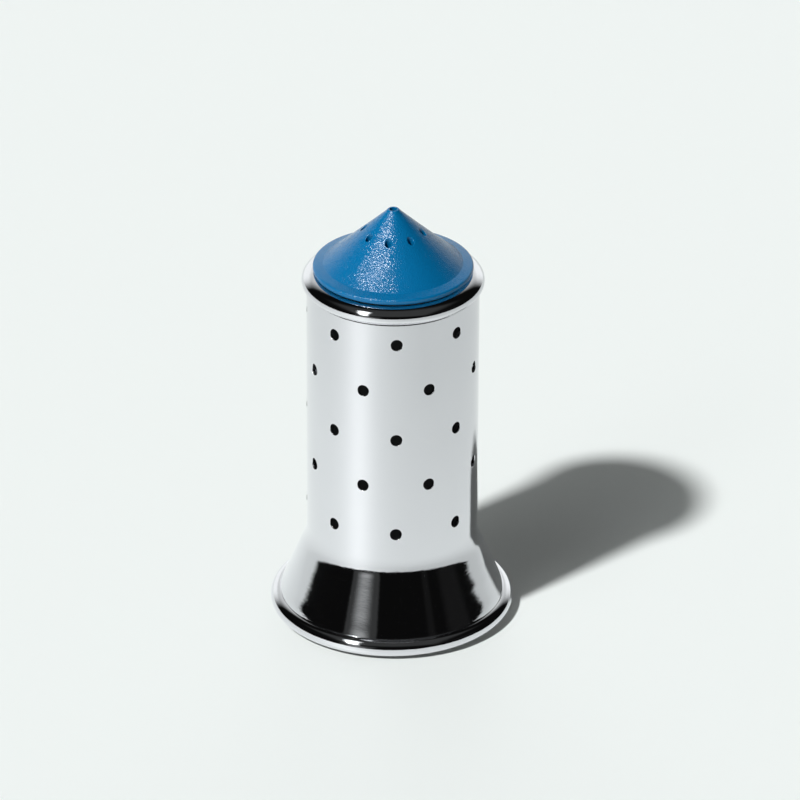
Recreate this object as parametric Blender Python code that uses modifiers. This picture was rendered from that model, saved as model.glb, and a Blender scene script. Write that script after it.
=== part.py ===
"""Salt castor: a perforated steel shell with curled rims, a black salt liner hung in its mouth, a blue
shaker cap that pulls off, and a base plate that one screw draws up into the flared foot. Metres, +Z up."""

import math

import bmesh
import bpy
from mathutils import Euler, Matrix, Vector

# Steel shell
TUBE_RADIUS = 0.0160        # outside of the perforated tube
SHEET = 0.0006              # thickness of the steel sheet
RIM_HEIGHT = 0.07002        # crown of the mouth bead above the table
RIM_BEAD = 0.00130          # section radius of the mouth bead on its outside
RIM_CROWN = 0.00300         # section radius of its flatter crown
RIM_LIP = 0.00160           # section radius where it rolls down into the mouth
RIM_PROUD = 0.00093         # how far the mouth bead stands out of the tube
CROWN_START = 45.0          # degrees round the section, from outward, where the crown begins
LIP_START = 80.0            # where the lip begins
LIP_END = 250.0             # where the lip ends, rolled under
FOOT_RADIUS = 0.02275       # outside of the foot bead
FOOT_BEAD = 0.00172         # section radius of the foot bead
FOOT_SET = 0.00034          # the foot bead is centred this far inside the sheet
FOOT_LIFT = 0.0003          # the foot bead stays this far off the table
FOOT_CURL_END = 215.0       # degrees round the section, from outward, where the foot bead ends
SKIRT_TOP = 0.01575         # height of the corner between tube and skirt
SKIRT_ROUND = 0.0100        # radius that eases that corner
CREASE_ROUND = 0.00045      # radius of the crease between sheet and bead

# Perforations of the tube
HOLE_RADIUS = 0.00108
HOLES_IN_ROW = 8
HOLE_ROWS = 5
ROW_PITCH = 0.0099          # height between two rows
ROW_DROP = 0.00730          # from the crown of the mouth bead to the first row

# Salt liner
LINER_WALL = 0.0013
COLLAR_LAP = 0.00017        # how far the collar overlaps the bead it hangs on
COLLAR_SEAT_ANGLE = 140.0   # degrees round the lip section, where the collar bears
LINER_FLOOR = 0.0015        # thickness of the chamber floor
LINER_ROUND = 0.0020        # round at the foot of the liner
BOSS_RADIUS = 0.0036        # blind screw boss that stands on the chamber floor
BOSS_ROOF = 0.0012          # closed end of that boss
MOUTH_CHAMFER = 0.0003      # lead into the bore

# Shaker cap
BRIM_REACH = 0.00020        # brim beyond the crown that it rests on
BRIM_THICK = 0.00105        # at its edge
BRIM_WIDTH = 0.00193        # ring outside the cone
BRIM_FALL = 0.00045         # its top falls this far from the cone to the edge
BRIM_ROUND = 0.00045        # round at both edges of the brim
CONE_RISE = 0.0109          # from the brim to the tip
CONE_STEEP = 0.945          # rise over run near the tip
CONE_EASE = 0.76            # rise over run where the cone meets the brim
TIP_RADIUS = 0.00115
TIP_HOLE_RADIUS = 0.00070
CAP_WALL = 0.0015
POUR_HOLE_RADIUS = 0.00062
POUR_HOLES = 8
POUR_RING_RADIUS = 0.00548
CAP_TURN = -12.0            # degrees that the cap stands turned in its seat
SPIGOT_LENGTH = 0.0070      # below the brim
SPIGOT_WALL = 0.0011        # behind the seal groove
SPIGOT_CHAMFER = 0.0004
SEAL_SECTION = 0.00065      # section radius of the seal ring
SEAL_DROP = 0.0036          # from the brim down to the middle of the seal ring

# Base
BASE_WALL = 0.0016
BASE_HEIGHT = 0.0098        # top of the tapered seat above the table
BASE_FOOT = 0.0006          # lower edge of the base above the table
BASE_RECESS = 0.0010        # the web lies this far above that edge
BASE_PAD_RISE = 0.0008      # centre pad above the web
PAD_RADIUS = 0.0080
RING_WIDTH = 0.0016         # soft foot ring
RING_HEIGHT = 0.0016
RING_INSET = 0.0009         # wall of the base outside the ring
RING_LAND = 0.0010          # wall of the base inside the ring
RING_CHAMFER = 0.0003
SCREW_RADIUS = 0.0015
SCREW_LENGTH = 0.0085
SCREW_HEAD_RADIUS = 0.0028
SCREW_HEAD_EDGE = 0.0003
SCREW_POINT = 0.0010
DRIVE_WIDTH = 0.0007        # cross slot in the screw head
DRIVE_LENGTH = 0.0030
DRIVE_DEPTH = 0.0008

# Clearances
SEAT_GAP = 0.0003           # between pieces that bear on each other
FIT_GAP = 0.0003            # round a piece that passes through another
SEAL_GAP = 0.0001           # round the seal ring

# Facets
TURN_STEPS = 40
ROUND_STEP = 36.0           # degrees of arc for each facet of a small round
CONE_STEPS = 5
FLARE_STEPS = 4
HOLE_SIDES = 12
SCREW_STEPS = 24
CUT_MARGIN = 0.0012         # how far a cutter reaches past the wall it cuts


def arc(centre, radius, start, end):
    """Points of an arc about centre, in degrees, both ends included."""
    count = max(2, math.ceil(abs(end - start) / ROUND_STEP))
    angles = [math.radians(start + (end - start) * i / count) for i in range(count + 1)]
    return [(centre[0] + radius * math.cos(a), centre[1] + radius * math.sin(a)) for a in angles]


def heading(degrees):
    """Unit vector at an angle from the outward direction."""
    return Vector((math.cos(math.radians(degrees)), math.sin(math.radians(degrees))))


def curl(set_in, sweeps):
    """A rolled edge beside a straight sheet, as (outward, along) from the bead's foot on the sheet.
    It follows tangent arcs, each given by its radius and the angle where it ends."""
    radius = sweeps[0][0]
    crease_along = -math.sqrt((radius + CREASE_ROUND) ** 2 - (CREASE_ROUND + set_in) ** 2)
    turn = math.degrees(math.atan2(-crease_along, -(set_in + CREASE_ROUND)))
    line = arc((CREASE_ROUND, crease_along), CREASE_ROUND, 180.0, turn)
    centre = Vector((-set_in, 0.0))
    start = turn - 180.0
    for next_radius, end in sweeps:
        centre = centre + (radius - next_radius) * heading(start)
        line += arc(centre, next_radius, start, end)[1:]
        radius = next_radius
        start = end
    return line


# Heights and radii that follow from the values above
sheet_radius = TUBE_RADIUS - SHEET / 2
lip_offset = (RIM_BEAD - RIM_CROWN) * heading(CROWN_START) + (RIM_CROWN - RIM_LIP) * heading(LIP_START)
rim_centre = Vector((TUBE_RADIUS + RIM_PROUD - RIM_BEAD, RIM_HEIGHT - RIM_LIP - lip_offset.y))
lip_centre = rim_centre + lip_offset
mouth_radius = lip_centre.x - RIM_LIP
foot_centre = Vector((FOOT_RADIUS - FOOT_BEAD, FOOT_LIFT + FOOT_BEAD))
throat_radius = foot_centre.x - FOOT_BEAD

corner = Vector((sheet_radius, SKIRT_TOP))
to_foot = foot_centre - corner
skirt_angle = math.atan2(to_foot.x, -to_foot.y) + math.asin(FOOT_SET / to_foot.length)
skirt_down = Vector((math.sin(skirt_angle), -math.cos(skirt_angle)))
skirt_out = Vector((math.cos(skirt_angle), math.sin(skirt_angle)))
skirt_foot = foot_centre + FOOT_SET * skirt_out

liner_radius = mouth_radius - FIT_GAP
bore_radius = liner_radius - LINER_WALL
collar_radius = mouth_radius + COLLAR_LAP

brim_bottom = RIM_HEIGHT + SEAT_GAP
cap_radius = lip_centre.x + BRIM_REACH
spigot_radius = bore_radius - FIT_GAP
seal_radius = bore_radius - SEAL_GAP - SEAL_SECTION
groove_radius = seal_radius - SEAL_SECTION - SEAL_GAP
spigot_bore = groove_radius - SPIGOT_WALL

base_radius = throat_radius - FIT_GAP
web_bottom = BASE_FOOT + BASE_RECESS
web_top = web_bottom + BASE_WALL
pad_top = web_top + BASE_PAD_RISE
liner_foot = pad_top + SEAT_GAP
chamber_floor = liner_foot + LINER_FLOOR
screw_hole = SCREW_RADIUS + FIT_GAP
ring_outer = base_radius - RING_INSET - SEAL_GAP
ring_inner = ring_outer - RING_WIDTH


def skirt_point(inward, height):
    """Point on a line parallel to the skirt's middle, moved inward, at a height."""
    foot = skirt_foot - inward * skirt_out
    return foot + skirt_down * ((foot.y - height) / -skirt_down.y)


def clear_scene():
    for obj in list(bpy.data.objects):
        bpy.data.objects.remove(obj, do_unlink=True)


def new_collection(name):
    made = bpy.data.collections.new(name)
    bpy.context.scene.collection.children.link(made)
    return made


def material(name, colour, roughness, metallic=0.0):
    made = bpy.data.materials.new(name)
    made.use_nodes = True
    shader = made.node_tree.nodes["Principled BSDF"]
    shader.inputs["Base Color"].default_value = (*colour, 1.0)
    shader.inputs["Roughness"].default_value = roughness
    shader.inputs["Metallic"].default_value = metallic
    return made


def new_object(name, mesh, collection, stuff=None):
    obj = bpy.data.objects.new(name, mesh)
    collection.objects.link(obj)
    if stuff:
        mesh.materials.append(stuff)
    return obj


def turned(name, profile, stuff, steps=TURN_STEPS, closed=True, height=0.0):
    """A profile of (radius, height) turned about the Z axis that passes through the object's origin."""
    mesh = bpy.data.meshes.new(name)
    edges = [(i, i + 1) for i in range(len(profile) - 1)]
    if closed:
        edges.append((len(profile) - 1, 0))
    mesh.from_pydata([(r, 0.0, z - height) for r, z in profile], edges, [])
    obj = new_object(name, mesh, parts, stuff)
    obj.location.z = height
    screw = obj.modifiers.new("Turn", "SCREW")
    screw.axis = "Z"
    screw.steps = steps
    screw.render_steps = steps
    screw.use_merge_vertices = True
    screw.merge_threshold = 0.00001
    screw.use_smooth_shade = True
    return obj


def cutter(name, shapes):
    """One hidden object that holds the given closed shapes, each a function that adds itself to a bmesh."""
    mesh = bpy.data.meshes.new(name)
    build = bmesh.new()
    for add in shapes:
        add(build)
    build.to_mesh(mesh)
    build.free()
    obj = new_object(name, mesh, cutters)
    obj.hide_render = True
    obj.display_type = "WIRE"
    return obj


def rod(radius, length, place):
    """A cylinder along the local Z of a placing matrix, with its flats square to the local axes."""
    flats = place @ Matrix.Rotation(math.pi / HOLE_SIDES, 4, "Z")
    return lambda build: bmesh.ops.create_cone(
        build, cap_ends=True, segments=HOLE_SIDES, radius1=radius, radius2=radius, depth=length, matrix=flats
    )


def block(size, place):
    return lambda build: bmesh.ops.create_cube(build, size=1.0, matrix=place @ Matrix.Diagonal((*size, 1.0)))


def cut(obj, tool):
    boolean = obj.modifiers.new("Cut " + tool.name, "BOOLEAN")
    boolean.operation = "DIFFERENCE"
    boolean.solver = "EXACT"
    boolean.object = tool
    return boolean


def even_shading(obj):
    obj.modifiers.new("Shading", "WEIGHTED_NORMAL")


def steel_shell(steel):
    """One sheet: mouth curl, tube, eased corner, straight skirt and foot curl, then the rows of holes."""
    half = SHEET / 2
    rim_arcs = [(RIM_BEAD - half, CROWN_START), (RIM_CROWN - half, LIP_START), (RIM_LIP - half, LIP_END)]
    rim_curl = curl(sheet_radius - rim_centre.x, rim_arcs)
    rim = [(sheet_radius + out, rim_centre.y + along) for out, along in rim_curl]
    foot_curl = curl(FOOT_SET, [(FOOT_BEAD - half, FOOT_CURL_END)])
    foot = [tuple(skirt_foot + out * skirt_out + along * skirt_down) for out, along in foot_curl]
    ease = SKIRT_ROUND * math.tan(skirt_angle / 2)
    flare = []
    for i in range(FLARE_STEPS + 1):
        lean = skirt_angle * i / FLARE_STEPS
        out = SKIRT_ROUND * (1.0 - math.cos(lean))
        down = SKIRT_ROUND * math.sin(lean)
        flare.append((sheet_radius + out, SKIRT_TOP + ease - down))
    shell = turned("outer_shell", rim[::-1] + flare + foot, steel, closed=False)
    wall = shell.modifiers.new("Sheet", "SOLIDIFY")
    wall.thickness = SHEET
    wall.offset = 0.0
    wall.use_even_offset = True

    holes = []
    for row in range(HOLE_ROWS):
        height = RIM_HEIGHT - ROW_DROP - row * ROW_PITCH
        stagger = 0.5 * (row % 2)
        for column in range(HOLES_IN_ROW):
            angle = math.tau * (column + stagger) / HOLES_IN_ROW - math.pi / 2
            turn = Euler((0.0, math.pi / 2, angle)).to_matrix().to_4x4()
            spot = Vector((sheet_radius * math.cos(angle), sheet_radius * math.sin(angle), height))
            holes.append(rod(HOLE_RADIUS, SHEET + 2 * CUT_MARGIN, Matrix.Translation(spot) @ turn))
    cut(shell, cutter("perforations", holes))
    even_shading(shell)
    return shell


def salt_liner(black):
    """The salt vessel. Its tapered collar hangs on the mouth lip, and its floor has a blind screw boss."""
    bear = heading(COLLAR_SEAT_ANGLE)

    def seat_height(radius):
        return lip_centre.y + (RIM_LIP + SEAT_GAP - bear.x * (radius - lip_centre.x)) / bear.y

    hole_top = web_bottom + SCREW_LENGTH + SEAT_GAP
    boss_top = hole_top + BOSS_ROOF
    outer_round = arc((liner_radius - LINER_ROUND, liner_foot + LINER_ROUND), LINER_ROUND, 0.0, -90.0)
    inner_round = LINER_ROUND - LINER_FLOOR / 2
    floor_round = arc((bore_radius - inner_round, chamber_floor + inner_round), inner_round, -90.0, 0.0)
    boss = [(0.0, boss_top), (BOSS_RADIUS, boss_top), (BOSS_RADIUS, chamber_floor)]
    profile = boss + floor_round + [
        (bore_radius, RIM_HEIGHT - MOUTH_CHAMFER),
        (bore_radius + MOUTH_CHAMFER, RIM_HEIGHT),
        (collar_radius, RIM_HEIGHT),
        (collar_radius, seat_height(collar_radius)),
        (liner_radius, seat_height(liner_radius)),
    ] + outer_round + [
        (screw_hole, liner_foot),
        (screw_hole, hole_top),
        (0.0, hole_top),
    ]
    liner = turned("salt_liner", profile, black, closed=False)
    even_shading(liner)
    return liner


def shaker_cap(blue):
    """Hollow cone with a sloping brim, a ring of pour holes, one at the tip, and a grooved spigot."""
    brim_edge = brim_bottom + BRIM_THICK
    brim_top = brim_edge + BRIM_FALL
    tip_top = brim_top + CONE_RISE
    cone_base = Vector((cap_radius - BRIM_WIDTH, brim_top))
    tip_edge = (TIP_RADIUS - TIP_HOLE_RADIUS) / 2
    tip = Vector((TIP_RADIUS, tip_top - tip_edge))
    bend = tip.x + (tip.y - cone_base.y - CONE_EASE * (cone_base.x - tip.x)) / (CONE_STEEP - CONE_EASE)
    control = Vector((bend, tip.y - CONE_STEEP * (bend - tip.x)))
    cone = []
    inside = []
    for i in range(CONE_STEPS + 1):
        t = i / CONE_STEPS
        point = tip.lerp(control, t).lerp(control.lerp(cone_base, t), t)
        along = (control - tip).lerp(cone_base - control, t).normalized()
        cone.append(tuple(point))
        inside.append(tuple(point + CAP_WALL * Vector((along.y, -along.x))))
    hollow = [point for point in inside if TIP_HOLE_RADIUS < point[0] < spigot_bore]
    tip_inside = (TIP_HOLE_RADIUS, hollow[0][1] + CONE_STEEP * (hollow[0][0] - TIP_HOLE_RADIUS))
    bore_inside = (spigot_bore, hollow[-1][1] - CONE_EASE * (spigot_bore - hollow[-1][0]))

    edge = cap_radius - BRIM_ROUND
    slope = math.atan2(BRIM_FALL, BRIM_WIDTH)
    shoulder = brim_edge + BRIM_ROUND * (math.tan(slope) - 1.0 / math.cos(slope))
    seal_height = brim_bottom - SEAL_DROP
    groove_half = SEAL_SECTION + SEAL_GAP
    spigot_end = brim_bottom - SPIGOT_LENGTH
    profile = [(TIP_HOLE_RADIUS, tip_top), (TIP_RADIUS - tip_edge, tip_top)] + cone
    profile += arc((edge, shoulder), BRIM_ROUND, 90.0 - math.degrees(slope), 0.0)
    profile += arc((edge, brim_bottom + BRIM_ROUND), BRIM_ROUND, 0.0, -90.0)
    profile += [
        (spigot_radius, brim_bottom),
        (spigot_radius, seal_height + groove_half),
        (groove_radius, seal_height + groove_half),
        (groove_radius, seal_height - groove_half),
        (spigot_radius, seal_height - groove_half),
        (spigot_radius, spigot_end + SPIGOT_CHAMFER),
        (spigot_radius - SPIGOT_CHAMFER, spigot_end),
        (spigot_bore, spigot_end),
        bore_inside,
    ]
    profile += hollow[::-1] + [tip_inside]
    cap = turned("shaker_cap", profile, blue, height=brim_bottom)
    cap.rotation_euler.z = math.radians(CAP_TURN)

    holes = []
    for i in range(POUR_HOLES):
        angle = math.tau * i / POUR_HOLES - math.pi / 2
        spot = Vector((POUR_RING_RADIUS, 0.0, brim_top + CONE_RISE / 2))
        place = Matrix.Rotation(angle, 4, "Z") @ Matrix.Translation(spot)
        holes.append(rod(POUR_HOLE_RADIUS, CONE_RISE, place))
    tool = cutter("pour_holes", holes)
    tool.rotation_euler.z = cap.rotation_euler.z
    cut(cap, tool)
    even_shading(cap)
    return cap


def seal_ring(rubber):
    ring = turned("cap_seal_ring", arc((seal_radius, 0.0), SEAL_SECTION, 360.0, 36.0), rubber)
    ring.location.z = brim_bottom - SEAL_DROP
    return ring


def base_plate(black):
    """Shallow cup. Its tapered wall bears up against the inside of the skirt."""
    bear = SHEET / 2 + SEAT_GAP
    seat_start = skirt_foot - bear * skirt_out
    seat_low = seat_start.y - (seat_start.x - base_radius) / skirt_down.x * skirt_down.y
    top_outer = skirt_point(bear, BASE_HEIGHT)
    top_inner = top_outer.x - BASE_WALL
    wall_inner = base_radius - BASE_WALL
    head_hole = SCREW_HEAD_RADIUS + SCREW_HEAD_EDGE + math.sqrt(2.0) * SEAT_GAP
    head_top = web_bottom + head_hole - screw_hole
    groove_outer = ring_outer + SEAL_GAP
    groove_inner = ring_inner - SEAL_GAP
    groove_top = RING_HEIGHT + SEAL_GAP
    profile = [
        (screw_hole, pad_top),
        (PAD_RADIUS, pad_top),
        (PAD_RADIUS, web_top),
        (wall_inner, web_top),
        (wall_inner, seat_low),
        (top_inner, BASE_HEIGHT),
        (top_outer.x, BASE_HEIGHT),
        (base_radius, seat_low),
        (base_radius, BASE_FOOT),
        (groove_outer, BASE_FOOT),
        (groove_outer, groove_top),
        (groove_inner, groove_top),
        (groove_inner, BASE_FOOT),
        (groove_inner - RING_LAND, BASE_FOOT),
        (groove_inner - RING_LAND, web_bottom),
        (head_hole, web_bottom),
        (screw_hole, head_top),
    ]
    plate = turned("base_plate", profile, black)
    even_shading(plate)
    return plate


def base_screw(steel):
    """Countersunk screw, point up, from below the base plate into the boss of the liner."""
    head_bottom = web_bottom
    point = head_bottom + SCREW_LENGTH
    neck = head_bottom + SCREW_HEAD_EDGE + SCREW_HEAD_RADIUS - SCREW_RADIUS
    profile = [
        (0.0, point),
        (SCREW_RADIUS / 2, point),
        (SCREW_RADIUS, point - SCREW_POINT),
        (SCREW_RADIUS, neck),
        (SCREW_HEAD_RADIUS, head_bottom + SCREW_HEAD_EDGE),
        (SCREW_HEAD_RADIUS, head_bottom),
        (0.0, head_bottom),
    ]
    screw = turned("base_screw", profile, steel, steps=SCREW_STEPS, closed=False)
    slot = (DRIVE_LENGTH, DRIVE_WIDTH, 2 * DRIVE_DEPTH)
    low = Matrix.Translation((0.0, 0.0, head_bottom))
    cross = cutter("drive_slot", [block(slot, low)])
    across = cutter("drive_slot_across", [block(slot, low @ Matrix.Rotation(math.pi / 2, 4, "Z"))])
    cut(screw, cross)
    cut(screw, across)
    even_shading(screw)
    return screw


def foot_ring(rubber):
    profile = [
        (ring_inner, RING_HEIGHT),
        (ring_outer, RING_HEIGHT),
        (ring_outer, RING_CHAMFER),
        (ring_outer - RING_CHAMFER, 0.0),
        (ring_inner + RING_CHAMFER, 0.0),
        (ring_inner, RING_CHAMFER),
    ]
    ring = turned("foot_ring", profile, rubber)
    even_shading(ring)
    return ring


clear_scene()
parts = new_collection("salt_shaker")
cutters = new_collection("cutters")

polished = material("polished_steel", (0.62, 0.63, 0.64), 0.06, 1.0)
blue_plastic = material("blue_plastic", (0.003, 0.140, 0.380), 0.38)
black_plastic = material("black_plastic", (0.012, 0.012, 0.013), 0.45)
silicone = material("silicone", (0.030, 0.030, 0.032), 0.55)
zinc = material("screw_steel", (0.45, 0.45, 0.45), 0.30, 1.0)

steel_shell(polished)
salt_liner(black_plastic)
shaker_cap(blue_plastic)
seal_ring(silicone)
base_plate(black_plastic)
base_screw(zinc)
foot_ring(silicone)
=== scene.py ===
# Salt shaker: perforated polished steel, black liner, blue cap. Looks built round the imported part.
# The pieces' dictionaries are in mm and degrees, the scene in metres, +Z up.
import math
import bpy
import numpy as np
from mathutils import Matrix, Quaternion, Vector


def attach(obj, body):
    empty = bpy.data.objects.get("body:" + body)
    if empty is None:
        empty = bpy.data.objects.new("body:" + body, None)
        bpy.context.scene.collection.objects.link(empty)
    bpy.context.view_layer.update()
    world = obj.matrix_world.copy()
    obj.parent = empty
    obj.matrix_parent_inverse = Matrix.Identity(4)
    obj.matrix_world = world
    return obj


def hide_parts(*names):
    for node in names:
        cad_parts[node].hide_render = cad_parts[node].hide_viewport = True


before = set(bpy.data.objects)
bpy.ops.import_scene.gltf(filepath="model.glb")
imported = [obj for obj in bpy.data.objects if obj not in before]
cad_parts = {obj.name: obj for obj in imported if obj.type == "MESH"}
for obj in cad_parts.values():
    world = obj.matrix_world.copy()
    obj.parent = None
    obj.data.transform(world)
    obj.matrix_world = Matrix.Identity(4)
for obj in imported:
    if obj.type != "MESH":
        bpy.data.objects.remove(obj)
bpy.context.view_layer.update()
scene = bpy.context.scene
mm = 0.001
weld = 1e-7                # metres: points that round to the same step of this are one
turnSteps = 160            # facets round the axis: 20 in each of the 8 columns of holes


def leftOf(way):
    # the way turned a quarter turn to the left
    return np.stack([-way[..., 1], way[..., 0]], -1)


def roundedRun(corners, steps=6, closed=False):
    # A path through (radius, height, rounding) corners in mm: straight runs, each corner an arc tangent to
    # both. With outside on the left of the way, the normal at an arc is the incoming left turned by the
    # sweep so far.
    at = np.array([corner[:2] for corner in corners], float) * mm
    rounding = np.array([corner[2] if len(corner) > 2 else 0.0 for corner in corners])[:, None] * mm
    back = np.roll(at, 1, 0) - at
    ahead = np.roll(at, -1, 0) - at
    back /= np.linalg.norm(back, axis=1, keepdims=True)
    ahead /= np.linalg.norm(ahead, axis=1, keepdims=True)
    if not closed:
        back[0] = -ahead[0]
        ahead[-1] = -back[-1]
    crossed = -back[:, 0] * ahead[:, 1] + back[:, 1] * ahead[:, 0]
    turn = np.arctan2(crossed, -(back * ahead).sum(1))[:, None]
    side = np.sign(np.round(turn, 9))
    left = leftOf(-back)
    centre = at + back * rounding * np.tan(np.abs(turn) / 2) + left * rounding * side
    sweep = turn * np.linspace(0.0, 1.0, steps + 1)
    normal = left[:, None] * np.cos(sweep)[..., None] + leftOf(left)[:, None] * np.sin(sweep)[..., None]
    point = centre[:, None] - (side * rounding)[:, None] * normal
    point, normal = point.reshape(-1, 2), normal.reshape(-1, 2)
    keep = np.append(True, np.linalg.norm(np.diff(point, axis=0), axis=1) > weld / 100)
    return point[keep], normal[keep]


def joined(*runs):
    # several (points, normals) runs one after another
    return np.concatenate([run[0] for run in runs]), np.concatenate([run[1] for run in runs])


def backwards(run):
    return run[0][::-1], run[1][::-1]


def revolved(run, closed=False, steps=turnSteps, start=0.0):
    # P(i, j) = (r_i cos a_j, r_i sin a_j, z_i), and the same turn for its normals
    point, normal = run
    if closed:
        point, normal = np.concatenate([point, point[:1]]), np.concatenate([normal, normal[:1]])
    angle = start + 2 * np.pi * np.arange(steps) / steps
    spin = np.stack([np.cos(angle), np.sin(angle)], -1)

    def carried(pair):
        across = pair[:, :1, None] * spin[None]
        return np.concatenate([across, np.broadcast_to(pair[:, 1:, None], across[..., :1].shape)], -1)
    return carried(point), carried(normal)


def stitched(name, patches, stuff):
    # Lays grids of points, closed across their second parameter, into one mesh. Points that fall together
    # become one, and each face is turned to agree with its corners' normals.
    places, normals, quads, start = [], [], [], 0
    for grid, out in patches:
        rows, columns = grid.shape[:2]
        index = start + np.arange(rows * columns).reshape(rows, columns)
        index = np.concatenate([index, index[:, :1]], 1)
        corners = [index[:-1, :-1], index[:-1, 1:], index[1:, 1:], index[1:, :-1]]
        quads.append(np.stack(corners, -1).reshape(-1, 4))
        places.append(grid.reshape(-1, 3))
        normals.append(out.reshape(-1, 3))
        start += rows * columns
    places, normals = np.concatenate(places), np.concatenate(normals)
    stepped = np.round(places / weld).astype(np.int64)
    _, first, same = np.unique(stepped, axis=0, return_index=True, return_inverse=True)
    places, normals = places[first], normals[first]
    quads = same.reshape(-1)[np.concatenate(quads)]
    middle = np.cross(places[quads[:, 2]] - places[quads[:, 0]], places[quads[:, 3]] - places[quads[:, 1]])
    inward = (middle * normals[quads].sum(1)).sum(1) < 0
    quads[inward] = quads[inward, ::-1]
    sameNext = quads == np.roll(quads, -1, 1)          # a pole folds a quad into a triangle
    whole = ~sameNext.any(1)
    faces = quads[whole].tolist()
    for corner in range(4):
        folded = sameNext[:, corner] & (sameNext.sum(1) == 1)
        faces += np.delete(quads[folded], corner, 1).tolist()
    mesh = bpy.data.meshes.new(name)
    mesh.from_pydata(places.tolist(), [], faces)
    mesh.polygons.foreach_set("use_smooth", np.ones(len(mesh.polygons), bool))
    mesh.normals_split_custom_set_from_vertices(normals.tolist())
    mesh.materials.append(stuff)
    piece = bpy.data.objects.new(name, mesh)
    scene.collection.objects.link(piece)
    print(" ", name, len(places), "points")
    return piece


def cellBorder(across, up):
    # the rim of a rectangle from -1 to 1 both ways, walked once round
    acrossAt, upAt = np.linspace(-1, 1, across + 1)[:-1], np.linspace(-1, 1, up + 1)[:-1]
    oneAcross, oneUp = np.ones(across), np.ones(up)
    side = np.concatenate([acrossAt, oneUp, -acrossAt, -oneUp])
    rise = np.concatenate([-oneAcross, upAt, oneAcross, -upAt])
    return side, rise


def fitted(piece, body, node):
    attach(piece, body)
    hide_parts(node)
    return piece


def nodeAt(tree, kind, **inputs):
    made = tree.nodes.new(kind)
    for key, value in inputs.items():
        made.inputs[key.replace("_", " ")].default_value = value
    return made


def worked(tree, kind, *values):
    # a Math node fed by numbers and by other nodes' outputs
    made = tree.nodes.new("ShaderNodeMath")
    made.operation = kind
    for place, value in enumerate(values):
        if isinstance(value, float):
            made.inputs[place].default_value = value
        else:
            tree.links.new(value, made.inputs[place])
    return made.outputs["Value"]


def ramped(tree, value, span, reach):
    # a Map Range node: the value's span laid over the reach
    made = nodeAt(tree, "ShaderNodeMapRange", From_Min=span[0], From_Max=span[1],
                  To_Min=reach[0], To_Max=reach[1])
    tree.links.new(value, made.inputs["Value"])
    return made


def effectGroup(name, sockets):
    tree = bpy.data.node_groups.new(name, "ShaderNodeTree")
    for label, way, kind in sockets:
        tree.interface.new_socket(label, in_out=way, socket_type=kind)
    return tree, tree.nodes.new("NodeGroupInput"), tree.nodes.new("NodeGroupOutput")


def mouldGrainGroup():
    # fine spark-eroded grain of a mould, and a slow drift of tone
    tree, given, out = effectGroup("mouldGrain", [
        ("Vector", "INPUT", "NodeSocketVector"), ("Grain", "INPUT", "NodeSocketFloat"),
        ("Height", "OUTPUT", "NodeSocketFloat"), ("Drift", "OUTPUT", "NodeSocketFloat")])
    fine = nodeAt(tree, "ShaderNodeTexNoise", Detail=0.0)
    slow = nodeAt(tree, "ShaderNodeTexNoise", Scale=90.0, Detail=3.0)
    tree.links.new(given.outputs["Vector"], fine.inputs["Vector"])
    tree.links.new(given.outputs["Vector"], slow.inputs["Vector"])
    tree.links.new(given.outputs["Grain"], fine.inputs["Scale"])
    tree.links.new(fine.outputs["Fac"], out.inputs["Height"])
    tree.links.new(slow.outputs["Fac"], out.inputs["Drift"])
    return tree


def turningMarksGroup():
    # hair lines that run round the axis: noise drawn out sideways and squeezed along Z
    tree, given, out = effectGroup("turningMarks", [
        ("Vector", "INPUT", "NodeSocketVector"), ("Lines", "INPUT", "NodeSocketFloat"),
        ("Height", "OUTPUT", "NodeSocketFloat"), ("Wiped", "OUTPUT", "NodeSocketFloat")])
    squeeze = nodeAt(tree, "ShaderNodeMapping", Scale=(700.0, 700.0, 2600.0))
    hair = nodeAt(tree, "ShaderNodeTexNoise", Detail=3.0, Roughness=0.65)
    wiped = nodeAt(tree, "ShaderNodeTexNoise", Scale=70.0, Detail=4.0, Roughness=0.55)
    tree.links.new(given.outputs["Vector"], squeeze.inputs["Vector"])
    tree.links.new(squeeze.outputs["Vector"], hair.inputs["Vector"])
    tree.links.new(given.outputs["Lines"], hair.inputs["Scale"])
    tree.links.new(given.outputs["Vector"], wiped.inputs["Vector"])
    tree.links.new(hair.outputs["Fac"], out.inputs["Height"])
    tree.links.new(wiped.outputs["Fac"], out.inputs["Wiped"])
    return tree


mouldGrain, turningMarks = mouldGrainGroup(), turningMarksGroup()


def finish(name, look, effect):
    # a Principled shader fed by one effect group: its drift shades colour and roughness, its height the bump,
    # whose depth is in metres
    made = bpy.data.materials.new(name)
    made.use_nodes = True
    tree = made.node_tree
    shader = tree.nodes["Principled BSDF"]
    shader.inputs["Metallic"].default_value = look.get("metal", 0.0)
    shader.inputs["Specular IOR Level"].default_value = look.get("specular", 0.5)
    where = tree.nodes.new("ShaderNodeTexCoord")
    group = tree.nodes.new("ShaderNodeGroup")
    group.node_tree = effect
    group.inputs[1].default_value = look["grain"]
    tree.links.new(where.outputs["Object"], group.inputs["Vector"])
    tone = tree.nodes.new("ShaderNodeMix")
    tone.data_type = "RGBA"
    tone.inputs["A"].default_value = (*look["colour"], 1.0)
    tone.inputs["B"].default_value = (*look["colourFar"], 1.0)
    tree.links.new(group.outputs[1], tone.inputs["Factor"])
    tree.links.new(tone.outputs["Result"], shader.inputs["Base Color"])
    rough = ramped(tree, group.outputs[1], (0.0, 1.0), look["rough"])
    tree.links.new(rough.outputs["Result"], shader.inputs["Roughness"])
    bump = nodeAt(tree, "ShaderNodeBump", Strength=look["bump"], Distance=look["depth"])
    tree.links.new(group.outputs[0], bump.inputs["Height"])
    tree.links.new(bump.outputs["Normal"], shader.inputs["Normal"])
    return made


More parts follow.
